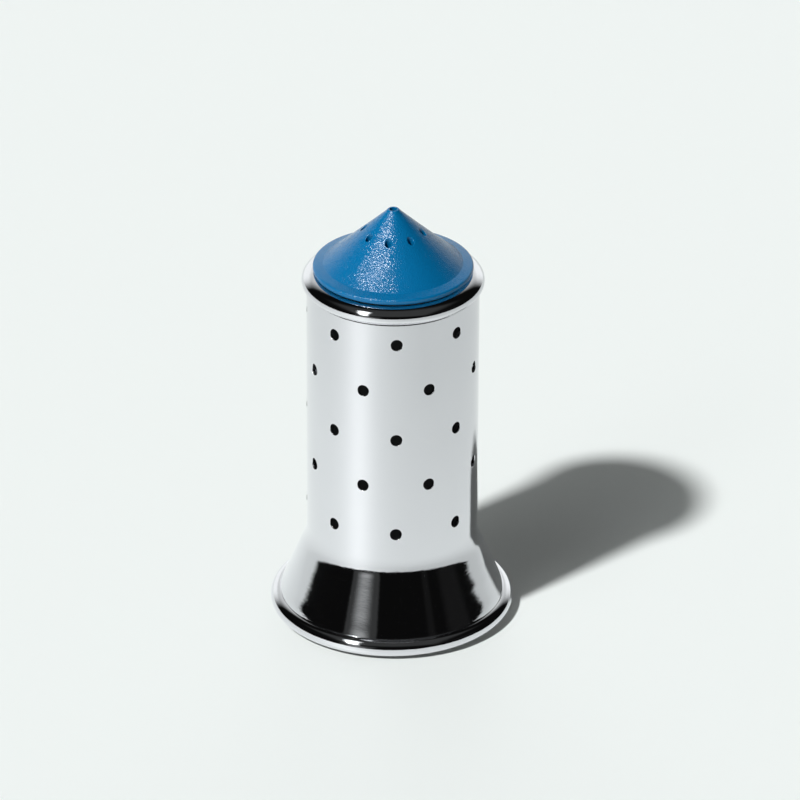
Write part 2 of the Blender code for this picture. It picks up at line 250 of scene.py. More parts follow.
polishedSteel = finish("polishedSteel", {
    "colour": (0.725, 0.728, 0.757), "colourFar": (0.755, 0.758, 0.787), "metal": 1.0,
    "rough": (0.03, 0.07), "grain": 1.0, "bump": 1.0, "depth": 0.000007}, turningMarks)
blueMoulding = finish("blueMoulding", {
    "colour": (0.0006, 0.130, 0.315), "colourFar": (0.0010, 0.143, 0.340), "specular": 0.43,
    "rough": (0.17, 0.22), "grain": 5000.0, "bump": 1.0, "depth": 0.000077}, mouldGrain)
blackMoulding = finish("blackMoulding", {
    "colour": (0.010, 0.010, 0.011), "colourFar": (0.014, 0.014, 0.015),
    "rough": (0.36, 0.48), "grain": 2600.0, "bump": 0.6, "depth": 0.00003}, mouldGrain)
softBlack = finish("softBlack", {
    "colour": (0.026, 0.026, 0.028), "colourFar": (0.034, 0.034, 0.036),
    "rough": (0.50, 0.62), "grain": 1800.0, "bump": 0.5, "depth": 0.00003}, mouldGrain)
screwSteel = finish("screwSteel", {
    "colour": (0.42, 0.42, 0.42), "colourFar": (0.50, 0.50, 0.49), "metal": 1.0,
    "rough": (0.24, 0.36), "grain": 1.5, "bump": 0.6, "depth": 0.000006}, turningMarks)
print("finishes made")


shell = {
    "tube": 16.0, "sheet": 0.6, "rimTop": 70.02, "rimProud": 0.93,
    "rimArcs": ((1.30, 45.0), (3.00, 80.0), (1.60, 250.0)),    # section radius, and the angle where it ends
    "foot": 22.75, "footArcs": ((1.72, 20.0), (1.50, 215.0)), "footSet": 0.34, "footLift": 0.14,
    "skirtTop": 15.75, "skirtRound": 9.5, "skirtEase": 20.0, "easeFrom": 20.5,
    "swell": 0.055, "swellLength": 3.6, "crease": 0.38, "neck": 0.085, "neckLength": 0.40,
    "hole": 1.08, "holeEdge": 0.14, "pitch": 9.9, "drop": 7.30, "rows": 5, "columns": 8, "bandTrim": 1.3,
    "ripple": 0.0046, "rippleLength": 3.5, "rippleFoot": 4.2, "rippleTop": 14.15, "rippleFade": 2.0,
    "rippleSlope": (0.25, 0.45),       # the skirt's outer side: the part of its normals along Z
    "rippleLeast": 0.2, "rippleRight": 0.2,
    "wander": ((1.7, 2, 0.4), (0.9, 5, 2.0)),      # radians, waves round the skirt, and where they start
    "shortWave": 1.73, "shortTip": 0.45, "shortStand": 0.26, "shortWander": (1.6, 3, 1.0),
    "creaseSteps": 8, "curlSteps": 10, "neckSteps": 8, "edgeSteps": 8,     # the curl's for each radian
    "flareSteps": 19, "skirtSteps": 47, "cellSteps": 12,
}


def curl(arcs, setIn):
    # Rolled edge beside a straight sheet, as (outward, along): a crease arc about a point outside the sheet,
    # then tangent bead arcs behind it. The outer normal points to the first centre and away from the others.
    half = shell["sheet"] / 2
    radius = arcs[0][0] - half
    apart = math.sqrt((radius + shell["crease"]) ** 2 - (shell["crease"] + setIn) ** 2)
    creaseAt = np.array([shell["crease"], -apart])
    turn = math.atan2(apart, -(setIn + shell["crease"]))
    angle = np.linspace(math.pi, turn, shell["creaseSteps"] + 1)
    way = np.stack([np.cos(angle), np.sin(angle)], -1)
    runs = [(creaseAt + shell["crease"] * way, -way)]
    centre, start = np.array([-setIn, 0.0]), turn - math.pi
    for section, end in arcs:
        centre = centre + (radius + half - section) * np.array([math.cos(start), math.sin(start)])
        radius = section - half
        steps = 3 + int((math.radians(end) - start) * shell["curlSteps"])
        angle = np.linspace(start, math.radians(end), steps + 1)[1:]
        way = np.stack([np.cos(angle), np.sin(angle)], -1)
        runs.append((centre + radius * way, way))
        start = math.radians(end)
    point, normal = joined(*runs)
    return point * mm, normal


def placedLine(line, origin, outward, along):
    def laid(pair):
        return pair[:, :1] * outward + pair[:, 1:] * along
    return origin + laid(line[0]), laid(line[1])


def mouthLine(middle):
    # The mouth's curl, and below its crease the tube drawn in by a smooth step, 3 u u - 2 u u u, whose
    # shoulder faces up a little
    (bead, crownFrom), (crown, lipFrom), (lip, _) = shell["rimArcs"]
    lipRise, crownRise = math.sin(math.radians(lipFrom)), math.sin(math.radians(crownFrom))
    lift = (crown - lip) * lipRise - (crown - bead) * crownRise
    rimAt = np.array([shell["tube"] + shell["rimProud"] - bead, shell["rimTop"] - lip - lift])
    neckAt = middle - shell["neck"]
    rim = placedLine(curl(shell["rimArcs"], neckAt - rimAt[0]), np.array([neckAt, rimAt[1]]) * mm,
                     np.array([1.0, 0.0]), np.array([0.0, 1.0]))
    u = np.linspace(0.0, 1.0, shell["neckSteps"] + 1)[:-1, None]
    drawn = middle - shell["neck"] * u * u * (3 - 2 * u)
    height = rim[0][0, 1] / mm - shell["neckLength"] * (1 - u)
    tilt = shell["neck"] * 6 * u * (1 - u) / shell["neckLength"]
    neck = np.concatenate([np.ones_like(u), tilt], 1) / np.sqrt(1 + tilt ** 2)
    return joined((np.concatenate([drawn, height], 1) * mm, neck), rim)


def footLine(middle):
    # The flare is two tangent arcs that end on the slope. A little above the foot's crease the slope swells
    # out by c t (1 - t / T) cubed, where t is the way up from the crease and T the swell's length, so that it
    # comes down steeper. The foot's curl follows.
    footBead = shell["footArcs"][0][0]
    footAt = np.array([shell["foot"] - footBead, shell["footLift"] + footBead])
    toFoot = footAt - np.array([middle, shell["skirtTop"]])
    lean = math.atan2(toFoot[0], -toFoot[1]) + math.asin(shell["footSet"] / np.hypot(*toFoot))
    down, out = np.array([math.sin(lean), -math.cos(lean)]), np.array([math.cos(lean), math.sin(lean)])
    footFrom = (footAt + shell["footSet"] * out) * mm
    foot = placedLine(curl(shell["footArcs"], shell["footSet"]), footFrom, out, down)
    angle = np.linspace(0.0, lean, shell["flareSteps"] + 1)
    first = np.minimum(angle, math.radians(shell["easeFrom"]))
    outBy = shell["skirtRound"] * (1 - np.cos(first)) + shell["skirtEase"] * (np.cos(first) - np.cos(angle))
    downBy = shell["skirtRound"] * np.sin(first) + shell["skirtEase"] * (np.sin(angle) - np.sin(first))
    start = shell["skirtTop"] - outBy[-1] / math.tan(lean) + downBy[-1]
    facing = np.stack([np.cos(angle), np.sin(angle)], -1)
    flare = np.stack([middle + outBy, start - downBy], -1) * mm, facing
    share = np.linspace(0.0, 1.0, shell["skirtSteps"] + 1)[1:-1, None]
    length = np.linalg.norm(foot[0][0] - flare[0][-1]) / mm
    up = np.minimum((1 - share) * length / shell["swellLength"], 1.0)
    swell = shell["swell"] * shell["swellLength"] * up * (1 - up) ** 3 * mm
    steep = shell["swell"] * (1 - up) ** 2 * (1 - 4 * up)
    slope = flare[0][-1] * (1 - share) + foot[0][0] * share + swell * out
    skirt = slope, (out + steep * down) / np.sqrt(1 + steep ** 2)
    return joined(flare, skirt, foot)


def sheetEdge(end, normal, side):
    # half round that closes the sheet from its outer to its inner side, beyond the end of the line
    angle = np.linspace(0.0, np.pi, shell["edgeSteps"] + 1)[1:-1, None]
    onward = side * leftOf(normal)
    out = np.cos(angle) * normal + np.sin(angle) * onward
    return end + out * shell["sheet"] / 2 * mm, out


def sheetSides(line):
    # the outer side, and the hidden inner side with every third point
    half = shell["sheet"] / 2 * mm
    few = np.append(np.arange(0, len(line[0]) - 2, 3), len(line[0]) - 1)
    return (line[0] + half * line[1], line[1]), (line[0][few] - half * line[1][few], -line[1][few])


def punchedBand():
    # Cells of one row by one column. Each runs from its outer border in to the hole, over a rounded edge,
    # through the sheet and back out to its inner border: place = (1 - t) circle + t border, laid on the tube.
    side, rise = cellBorder(turnSteps // shell["columns"], shell["cellSteps"])
    half = math.pi / shell["columns"]
    borderAngle, borderHeight = side * half, rise * shell["pitch"] / 2
    theta = np.arctan2(borderHeight, borderAngle * shell["tube"])
    edge, ring = shell["holeEdge"], shell["hole"] + shell["holeEdge"]
    grow, shrink = np.array([1.0, 0.62, 0.38, 0.22, 0.11, 0.04, 0.0]), np.array([0.0, 0.38, 1.0])
    bend, back = np.radians(np.arange(15.0, 91.0, 15.0)), np.radians([90.0, 60.0, 30.0])
    outer, inner = np.ones(len(grow)), np.ones(len(shrink))
    t = np.concatenate([grow, np.zeros(len(bend) + len(back)), shrink])
    rho = ring - edge * np.concatenate([0 * outer, np.sin(bend), np.sin(back), 0 * inner])
    depth = np.concatenate([0 * outer, edge * (1 - np.cos(bend)),
                            shell["sheet"] - edge * (1 - np.cos(back)), shell["sheet"] * inner])
    facing = np.concatenate([outer, np.cos(bend), -np.cos(back), -inner])
    inwards = np.sqrt(1 - np.clip(facing ** 2, 0, 1))
    t, rho, depth, facing, inwards = (row[:, None] for row in (t, rho, depth, facing, inwards))
    rows, columns = np.meshgrid(np.arange(shell["rows"]), np.arange(shell["columns"]), indexing="ij")
    trim = np.where(rows == 0, shell["bandTrim"], 0.0).reshape(-1, 1, 1)    # the top row ends below the neck
    angle = (1 - t) * rho * np.cos(theta) / shell["tube"] + t * borderAngle
    height = (1 - t) * rho * np.sin(theta) + t * (borderHeight - np.maximum(rise, 0.0) * trim)
    aim = (2 * np.pi * (columns + 0.5 * (rows % 2)) / shell["columns"] - np.pi / 2).reshape(-1, 1, 1)
    level = (shell["rimTop"] - shell["drop"] - rows * shell["pitch"]).reshape(-1, 1, 1)
    phi = aim + angle
    radius = shell["tube"] - depth
    grid = np.stack([radius * np.cos(phi), radius * np.sin(phi), level + height], -1) * mm
    aside, rising = -inwards * np.cos(theta), -inwards * np.sin(theta)
    normal = np.stack([facing * np.cos(phi) - aside * np.sin(phi), facing * np.sin(phi) + aside * np.cos(phi),
                       np.broadcast_to(rising, phi.shape)], -1)
    return list(zip(grid, normal))


def rippled(patch):
    # Faint spinning ripple of the skirt: the sheet stands out by two waves that run down the slope and
    # wander with the angle, and its normal tips by their slope. They are strongest on the right and fade out
    # at both ends.
    grid, normal = patch
    height = grid[..., 2] / mm
    angle = np.arctan2(grid[..., 1], grid[..., 0])
    wave = 2 * np.pi / shell["rippleLength"]
    long, short = wave * height, shell["shortWave"] * wave * height
    for by, times, start in shell["wander"]:
        long = long + by * np.sin(angle * times + start)
    by, times, start = shell["shortWander"]
    short = short + by * np.sin(angle * times + start)
    low, high = shell["rippleSlope"]
    outer = (normal[..., 2] > low) & (normal[..., 2] < high) & (height < shell["skirtTop"])
    fromFoot = np.clip((height - shell["rippleFoot"]) / shell["rippleFade"], 0, 1)
    fromTop = np.clip((shell["rippleTop"] - height) / shell["rippleFade"], 0, 1)
    fade = np.where(outer, fromFoot * fromTop, 0.0)
    onRight = shell["rippleLeast"] + shell["rippleRight"] * (1 + np.cos(angle)) ** 2
    fade = shell["ripple"] * fade * fade * (3 - 2 * fade) * onRight
    tip = normal.copy()
    tip[..., 2] -= wave * fade * (np.cos(long) + shell["shortTip"] * np.cos(short))
    stand = fade * (np.sin(long) + shell["shortStand"] * np.sin(short)) * mm
    return grid + stand[..., None] * normal, tip / np.linalg.norm(tip, axis=-1, keepdims=True)


def steelShell():
    # one sheet: the mouth with its curl, the band of holes, the skirt with the foot's curl
    middle, inner = shell["tube"] - shell["sheet"] / 2, shell["tube"] - shell["sheet"]
    rim, low = backwards(mouthLine(middle)), footLine(middle)
    rowTop = shell["rimTop"] - shell["drop"] + shell["pitch"] / 2
    bandTop, bandFoot = (rowTop - shell["bandTrim"]) * mm, (rowTop - shell["rows"] * shell["pitch"]) * mm
    rimOut, rimIn = sheetSides(rim)
    lowOut, lowIn = sheetSides(low)

    def tubeEnd(radius, height, way):
        return np.array([[radius * mm, height]]), np.array([[way, 0.0]])
    rimEdge = sheetEdge(rim[0][0], rim[1][0], 1.0)
    footEdge = sheetEdge(low[0][-1], low[1][-1], -1.0)
    mouth = joined(tubeEnd(inner, bandTop, -1.0), backwards(rimIn), backwards(rimEdge), rimOut,
                   tubeEnd(shell["tube"], bandTop, 1.0))
    foot = joined(tubeEnd(shell["tube"], bandFoot, 1.0), lowOut, footEdge, backwards(lowIn),
                  tubeEnd(inner, bandFoot, -1.0))
    start = -np.pi / 2
    patches = [revolved(mouth, start=start), rippled(revolved(foot, start=start))] + punchedBand()
    return stitched("perforatedShell", patches, polishedSteel)


perforatedShell = fitted(steelShell(), "shaker_body", "outer_shell")
perforatedShell.visible_diffuse = False    # it throws no glints on the floor
print("steel shell done")


cap = {
    "radius": 14.87, "brimFoot": 70.32, "brimEdge": 71.37, "brimTop": 71.82, "brimRound": 0.45,
    "coneBase": 12.94, "coneEnd": 12.4, "crease": 0.35, "steep": 0.945, "ease": 0.76, "wall": 1.5,
    "tipTop": 82.72, "tip": 1.15, "tipFlat": 1.02, "tipHole": 0.70, "tipEnd": 1.5,
    "hole": 0.62, "holeEdge": 0.13, "ring": 5.48, "holes": 8, "turn": -12.0, "cellIn": 3.3, "cellOut": 7.7,
    "spigot": 11.17, "spigotBore": 8.87, "spigotEnd": 63.32, "roofEnd": 8.47,
    "groove": 9.97, "grooveAt": 66.72, "grooveHalf": 0.75,
    "endGap": 0.2,                     # from the ends of the cone's lines to the runs that join them
    "tipSteps": 8, "coneSteps": 13, "roofSteps": 4, "cellSteps": 16,
}


def coneAt(radius):
    # Height and slope of the hollow-sided cone: a parabola that leaves the tip at one slope and meets the
    # brim at another, solved for the radius.
    tip, tipAt = cap["tip"], cap["tipTop"] - (cap["tip"] - cap["tipHole"]) / 2
    brim, brimAt = cap["coneBase"], cap["brimTop"]
    bend = tip + (tipAt - brimAt - cap["ease"] * (brim - tip)) / (cap["steep"] - cap["ease"])
    bendAt = tipAt - cap["steep"] * (bend - tip)
    a, b = tip - 2 * bend + brim, 2 * (bend - tip)
    t = (np.sqrt(b * b - 4 * a * (tip - radius)) - b) / (2 * a)
    height = (1 - t) ** 2 * tipAt + 2 * t * (1 - t) * bendAt + t * t * brimAt
    rise = (1 - t) * (bendAt - tipAt) + t * (brimAt - bendAt)
    return height, rise / ((1 - t) * (bend - tip) + t * (brim - bend))


def coneSide(radii, inside=False):
    # the cone's outer line, or the line one wall below it, with its normals
    height, slope = coneAt(radii)
    stretch = np.sqrt(1 + slope ** 2)
    normal = np.stack([-slope / stretch, 1 / stretch], -1)
    if inside:
        return np.stack([radii, height - cap["wall"] * stretch], -1) * mm, -normal
    return np.stack([radii, height], -1) * mm, normal


def holedCone():
    # One cell per pour hole, seen from above: from the border in to the upright hole, over its edge, down
    # the wall and out again under the cone.
    side, rise = cellBorder(turnSteps // cap["holes"], cap["cellSteps"])
    borderAngle = side * math.pi / cap["holes"]
    border = (cap["cellIn"] + cap["cellOut"]) / 2 + rise * (cap["cellOut"] - cap["cellIn"]) / 2
    borderX, borderY = border * np.cos(borderAngle), border * np.sin(borderAngle)
    theta = np.arctan2(borderY, borderX - cap["ring"])
    edge, ring = cap["holeEdge"], cap["hole"] + cap["holeEdge"]
    grow = np.array([1.0, 0.66, 0.44, 0.28, 0.16, 0.07, 0.0])
    bend = np.radians(np.arange(18.0, 91.0, 18.0))
    back = bend[::-1]
    flatRows, bentRows = np.ones(len(grow)), np.ones(len(bend))
    t = np.concatenate([grow, 0 * bentRows, 0 * bentRows, grow[::-1]])[:, None]
    rho = ring - edge * np.concatenate([0 * flatRows, np.sin(bend), np.sin(back), 0 * flatRows])[:, None]
    over = np.concatenate([0 * flatRows, 1 - np.cos(bend), 0 * bentRows, 0 * flatRows])[:, None]
    under = np.concatenate([0 * flatRows, 0 * bentRows, 1 - np.cos(back), 0 * flatRows])[:, None]
    face = np.concatenate([flatRows, np.cos(bend), -np.cos(back), -flatRows])[:, None]
    below = np.concatenate([0 * flatRows, 0 * bentRows, bentRows, flatRows])[:, None]
    x = (1 - t) * (cap["ring"] + rho * np.cos(theta)) + t * borderX
    y = (1 - t) * rho * np.sin(theta) + t * borderY
    radius = np.hypot(x, y)
    height, slope = coneAt(radius)
    stretch = np.sqrt(1 + slope ** 2)
    height = height - edge * over + below * (edge * under - cap["wall"] * stretch)
    toHole = np.sqrt(1 - face ** 2)
    flat = face * -slope / stretch / radius
    outX, outY = flat * x - toHole * np.cos(theta), flat * y - toHole * np.sin(theta)
    normal = np.stack([outX, outY, face / stretch], -1)
    normal /= np.linalg.norm(normal, axis=-1, keepdims=True)
    patches = []
    for hole in range(cap["holes"]):
        turn = -math.pi / 2 + math.radians(cap["turn"]) + 2 * math.pi * hole / cap["holes"]
        cos, sin = math.cos(turn), math.sin(turn)
        spin = np.array([[cos, sin, 0], [-sin, cos, 0], [0, 0, 1]])
        patches.append((np.stack([x, y, height], -1) @ spin * mm, normal @ spin))
    return patches


def pourCap():
    # tip with its hole, cone with the ring of holes, brim, grooved spigot, and back up under the roof
    tipLow, tipSlope = coneAt(cap["tipEnd"])
    roof = float(coneSide(np.array([cap["tipEnd"]]), True)[0][0, 1]) / mm
    roofAtHole = roof - tipSlope * (cap["tipEnd"] - cap["tipHole"])
    tipRadii = np.linspace(cap["tipEnd"] + cap["endGap"], cap["cellIn"], cap["tipSteps"] + 1)
    tip = joined(
        backwards(coneSide(tipRadii, True)),
        roundedRun([(cap["tipEnd"], roof), (cap["tipHole"], roofAtHole, 0.10),
                    (cap["tipHole"], cap["tipTop"], 0.10), (cap["tipFlat"], cap["tipTop"], 0.18),
                    (cap["tipEnd"], tipLow)]),
        coneSide(tipRadii))
    coneLow = coneAt(cap["coneEnd"])[0]
    roofEnd = coneSide(np.array([cap["roofEnd"]]), True)[0][0, 1] / mm
    roofAtBore = roofEnd + coneAt(cap["roofEnd"])[1] * (cap["spigotBore"] - cap["roofEnd"])
    grooveTop, grooveFoot = cap["grooveAt"] + cap["grooveHalf"], cap["grooveAt"] - cap["grooveHalf"]
    coneRadii = np.linspace(cap["cellOut"], cap["coneEnd"] - cap["endGap"], cap["coneSteps"] + 1)
    roofRadii = np.linspace(cap["cellOut"], cap["roofEnd"] - cap["endGap"], cap["roofSteps"] + 1)
    brim = joined(
        coneSide(coneRadii),
        roundedRun([(cap["coneEnd"], coneLow), (cap["coneBase"], cap["brimTop"], cap["crease"]),
                    (cap["radius"], cap["brimEdge"], cap["brimRound"]),
                    (cap["radius"], cap["brimFoot"], cap["brimRound"]),
                    (cap["spigot"], cap["brimFoot"], 0.15), (cap["spigot"], grooveTop, 0.08),
                    (cap["groove"], grooveTop, 0.12), (cap["groove"], grooveFoot, 0.12),
                    (cap["spigot"], grooveFoot, 0.08), (cap["spigot"], cap["spigotEnd"], 0.35),
                    (cap["spigotBore"], cap["spigotEnd"], 0.25), (cap["spigotBore"], roofAtBore, 0.25),
                    (cap["roofEnd"], roofEnd)], steps=8),
        backwards(coneSide(roofRadii, True)))
    start = -math.pi / 2 + math.radians(cap["turn"]) + math.pi / cap["holes"]
    patches = [revolved(tip, start=start), revolved(brim, start=start)] + holedCone()
    return stitched("pourCap", patches, blueMoulding)


fitted(pourCap(), "cap", "shaker_cap")
print("cap done")


liner = {
    "collar": 13.24, "collarTop": 70.02, "outside": 12.77, "bore": 11.47, "foot": 4.3, "floor": 5.8,
    "boss": 3.6, "bossTop": 11.6, "screwHole": 1.8, "screwHoleTop": 10.4, "seatHigh": 69.67, "seatLow": 69.11,
}
seal = {"radius": 10.72, "section": 0.65, "height": 66.72, "steps": 28}


def saltLiner():
    run = roundedRun([
        (0.0, liner["bossTop"]), (liner["boss"], liner["bossTop"], 0.5), (liner["boss"], liner["floor"], 0.6),
        (liner["bore"], liner["floor"], 1.25), (liner["bore"], liner["collarTop"], 0.25),
        (liner["collar"], liner["collarTop"], 0.12), (liner["collar"], liner["seatHigh"], 0.05),
        (liner["outside"], liner["seatLow"], 0.1), (liner["outside"], liner["foot"], 2.0),
        (liner["screwHole"], liner["foot"], 0.2), (liner["screwHole"], liner["screwHoleTop"], 0.2),
        (0.0, liner["screwHoleTop"])], steps=7)
    return stitched("saltLiner", [revolved(run)], blackMoulding)


def sealRing():
    angle = np.linspace(0, -2 * np.pi, seal["steps"] + 1)[:-1]
    out = np.stack([np.cos(angle), np.sin(angle)], -1)
    run = np.array([seal["radius"], seal["height"]]) * mm + seal["section"] * mm * out, out
    return stitched("sealRing", [revolved(run, closed=True)], softBlack)


fitted(saltLiner(), "shaker_body", "salt_liner")
fitted(sealRing(), "cap_seal", "cap_seal_ring")
print("liner and seal done")


base = {
    "outside": 19.01, "wall": 1.6, "foot": 0.6, "web": 1.6, "webTop": 3.2, "padTop": 4.0, "pad": 8.0,
    "top": 9.8, "topOut": 17.52, "seatLow": 6.21, "land": 1.0,
    "ringIn": 16.41, "ringOut": 18.01, "ringTop": 1.6, "ringGap": 0.1,
    "screwHole": 1.8, "headHole": 3.52, "headTop": 3.32,
}


def basePlate():
    gap = base["ringGap"]
    grooveIn, grooveOut, grooveTop = base["ringIn"] - gap, base["ringOut"] + gap, base["ringTop"] + gap
    wallIn = base["outside"] - base["wall"]
    run = roundedRun([
        (base["screwHole"], base["padTop"], 0.15), (base["pad"], base["padTop"], 0.2),
        (base["pad"], base["webTop"], 0.3), (wallIn, base["webTop"], 0.5), (wallIn, base["seatLow"], 0.3),
        (base["topOut"] - base["wall"], base["top"], 0.2), (base["topOut"], base["top"], 0.2),
        (base["outside"], base["seatLow"], 0.3), (base["outside"], base["foot"], 0.2),
        (grooveOut, base["foot"], 0.15), (grooveOut, grooveTop, 0.1),
        (grooveIn, grooveTop, 0.1), (grooveIn, base["foot"], 0.15),
        (grooveIn - base["land"], base["foot"], 0.2), (grooveIn - base["land"], base["web"], 0.25),
        (base["headHole"], base["web"], 0.12), (base["screwHole"], base["headTop"], 0.1)],
        closed=True, steps=5)
    return stitched("basePlate", [revolved(run, closed=True)], blackMoulding)


def footRing():
    run = roundedRun([(base["ringIn"], base["ringTop"], 0.1), (base["ringOut"], base["ringTop"], 0.1),
                      (base["ringOut"], 0.0, 0.35), (base["ringIn"], 0.0, 0.35)], closed=True)
    return stitched("footRing", [revolved(run, closed=True)], softBlack)


screw = {
    "shank": 1.36, "crest": 0.30, "pitch": 1.0, "runOut": 1.6, "runOutLeast": 0.35, "runIn": 0.5,
    "tip": 1.0, "tipLeast": 0.5, "tipFlat": 0.3,
    "head": 2.8, "foot": 1.6, "edge": 0.3, "length": 8.5, "neck": 1.5, "face": 2.2,
    "arm": 1.5, "armWidth": 0.35, "armSide": 0.12, "armEnd": 0.35, "depth": 0.8,
    "turnSteps": 64, "shankSteps": 129, "faceSteps": 39,
}


def gridNormals(grid, pole):
    # at right angles to both ways of a grid, or at a pole, where they vanish, the given way
    along = np.gradient(grid, axis=0)
    around = (np.roll(grid, -1, 1) - np.roll(grid, 1, 1)) / 2
    normal = np.cross(around, along)
    size, tiny = np.linalg.norm(normal, axis=-1, keepdims=True), 1e-14
    return np.where(size > tiny, normal / np.maximum(size, tiny), np.array(pole))


def baseScrew():
    # The shank's radius rises to a crest once a pitch as the angle goes round; the head's face sinks in a
    # cross whose arms thin out with depth.
    up, down = (0.0, 0.0, 1.0), (0.0, 0.0, -1.0)
    point = screw["foot"] + screw["length"]
    neck = screw["foot"] + screw["edge"] + screw["head"] - screw["neck"]
    head = roundedRun([(screw["neck"], neck), (screw["head"], screw["foot"] + screw["edge"], 0.1),
                       (screw["head"], screw["foot"], 0.12), (screw["face"], screw["foot"])], steps=4)
    steps = screw["turnSteps"]
    z = np.linspace(point - screw["tipFlat"], neck, screw["shankSteps"] + 1)[:, None]
    angle = 2 * np.pi * np.arange(steps) / steps
    wind = (z / screw["pitch"] - angle / (2 * np.pi)) % 1.0
    crest = screw["crest"] * np.clip(1 - np.abs(wind - 0.5) * 4, 0, 1)
    crest = crest * np.clip((point - z) / screw["runOut"], screw["runOutLeast"], 1.0)
    crest = crest * np.clip((z - neck) / screw["runIn"], 0.0, 1.0) ** 0.5
    radius = screw["shank"] * np.clip((point - z) / screw["tip"], screw["tipLeast"], 1.0) + crest
    radius[-1] = screw["neck"]
    shank = [radius * np.cos(angle), radius * np.sin(angle), np.broadcast_to(z, radius.shape)]
    top = np.zeros((1, steps, 3))
    top[..., 2] = point * mm
    shank = np.concatenate([top, np.stack(shank, -1) * mm])
    radii = np.linspace(screw["face"], 0.0, screw["faceSteps"] + 1)[:, None]
    x, y = radii * np.cos(angle), radii * np.sin(angle)

    def arm(lengthwise, sideways):
        inSide = np.clip((screw["armWidth"] - np.abs(sideways)) / screw["armSide"], 0, 1)
        return inSide * np.clip((screw["arm"] - np.abs(lengthwise)) / screw["armEnd"], 0, 1)
    face = np.stack([x, y, screw["foot"] + screw["depth"] * np.maximum(arm(x, y), arm(y, x))], -1) * mm
    shankOut, faceOut = gridNormals(shank, up), gridNormals(face, down)
    # turned to point away from the shank's axis, and down from the face's edge
    shankOut *= np.sign((shankOut[5:-5, :, :2] * shank[5:-5, :, :2]).sum())
    faceOut *= -np.sign(faceOut[:3, :, 2].sum())
    shankOut[0], faceOut[-1] = up, down
    patches = [(shank, shankOut), revolved(head, steps=steps), (face, faceOut)]
    return stitched("baseScrew", patches, screwSteel)


fitted(basePlate(), "shaker_body", "base_plate")
fitted(footRing(), "shaker_body", "foot_ring")
fitted(baseScrew(), "shaker_body", "base_screw")
print("base done")


studio = {                             # metres and degrees
    "floor": (0.86, 0.90, 0.885), "floorRough": 0.5, "floorGloss": 0.6, "floorHalf": 8.0,
    "near": (1.07, 0.92), "nearSpan": (0.035, 0.125),          # painted pool of light on the floor as metal shows it, brighter near than far
    "paintedLightLeftRight": (1.10, 0.93), "paintedLightSideSpan": (-0.08, 0.08),      # and painted light brighter on the lamp's side, from left to right
    "keyTurn": -48.95, "keyHeight": 49.1, "key": 3.58, "keyWidth": 4.4,
    "sky": (0.97, 1.0, 0.99), "backdrop": 0.88, "dark": 0.004,
    "pale": 1.14, "paleFrom": 0.62, "paleTo": 0.88, "paleHigh": 0.65, "highFrom": 0.35, "highTo": 0.5,
    "panelFront": (0.0, 0.1),          # a panel fades in over this part of the direction along its way
    # turn, height, lean, half width and its soft edge, half rise and its soft edge, level
    "panels": (
        (-48.95, 49.1, -22.0, 0.04, 0.08, 0.34, 0.08, 2.6),       # screen round the key lamp
        (-2.7, 72.0, 0.0, 0.50, 0.25, 0.35, 0.25, 0.042),         # dim ceiling
        (-34.6, 11.0, 0.0, 0.02, 0.19, 0.00, 0.15, 0.36),         # narrow strip at the front left
        (-34.0, 14.0, 0.0, 0.25, 0.05, 0.20, 0.05, 0.04),         # and its frame
        (37.8, 14.0, 0.0, 0.03, 0.06, 0.20, 0.05, 0.005),         # faint stands at the front right
        (68.0, 10.0, 0.0, 0.14, 0.14, 0.20, 0.05, 0.006)),
}


def paleFloor():
    # Even to the camera. For glossy rays its colour carries a painted pool of light: the polished steel sees
    # it brighter close by and on the lamp's side, its colour taken 1 + g (near * side - 1) times, where g is
    # 1 for a glossy ray and 0 for others.
    half = studio["floorHalf"]
    mesh = bpy.data.meshes.new("floor")
    corners = [(-half, -half, 0), (half, -half, 0), (half, half, 0), (-half, half, 0)]
    mesh.from_pydata(corners, [], [(0, 1, 2, 3)])
    floor = bpy.data.objects.new("floor", mesh)
    scene.collection.objects.link(floor)
    made = bpy.data.materials.new("paleFloor")
    made.use_nodes = True
    tree = made.node_tree
    shader = tree.nodes["Principled BSDF"]
    shader.inputs["Roughness"].default_value = studio["floorRough"]
    shader.inputs["Specular IOR Level"].default_value = studio["floorGloss"]
    where = tree.nodes.new("ShaderNodeTexCoord").outputs["Object"]
    apart = tree.nodes.new("ShaderNodeSeparateXYZ")
    away = tree.nodes.new("ShaderNodeVectorMath")
    away.operation = "LENGTH"
    tree.links.new(where, apart.inputs[0])
    tree.links.new(where, away.inputs[0])
    near = ramped(tree, away.outputs["Value"], studio["nearSpan"], studio["near"]).outputs["Result"]
    side = ramped(tree, apart.outputs["X"], studio["paintedLightSideSpan"], studio["paintedLightLeftRight"]).outputs["Result"]
    # painted light: the floor's colour is made brighter near the shaker and on the lamp's side, for glossy
    # rays only
    path = tree.nodes.new("ShaderNodeLightPath")
    extra = worked(tree, "MULTIPLY_ADD", near, side, -1.0)
    times = worked(tree, "MULTIPLY_ADD", extra, path.outputs["Is Glossy Ray"], 1.0)
    shade = tree.nodes.new("ShaderNodeVectorMath")
    shade.operation = "SCALE"
    shade.inputs[0].default_value = studio["floor"]
    tree.links.new(times, shade.inputs["Scale"])
    tree.links.new(shade.outputs["Vector"], shader.inputs["Base Color"])
    mesh.materials.append(made)


def lampWay(turn, height):
    # unit vector from the shaker towards a lamp, panel or camera: turn 0 is the front, a positive one right
    turned, raised = math.radians(turn), math.radians(height)
    level = math.cos(raised)
    return Vector((math.sin(turned) * level, -math.cos(turned) * level, math.sin(raised)))


def keyLamp():
    lamp = bpy.data.objects.new("keyLamp", bpy.data.lights.new("keyLamp", "SUN"))
    lamp.data.energy = studio["key"]
    lamp.data.angle = math.radians(studio["keyWidth"])
    way = lampWay(studio["keyTurn"], studio["keyHeight"])
    lamp.rotation_euler = way.to_track_quat("Z", "Y").to_euler()
    lamp.location = way
    scene.collection.objects.link(lamp)


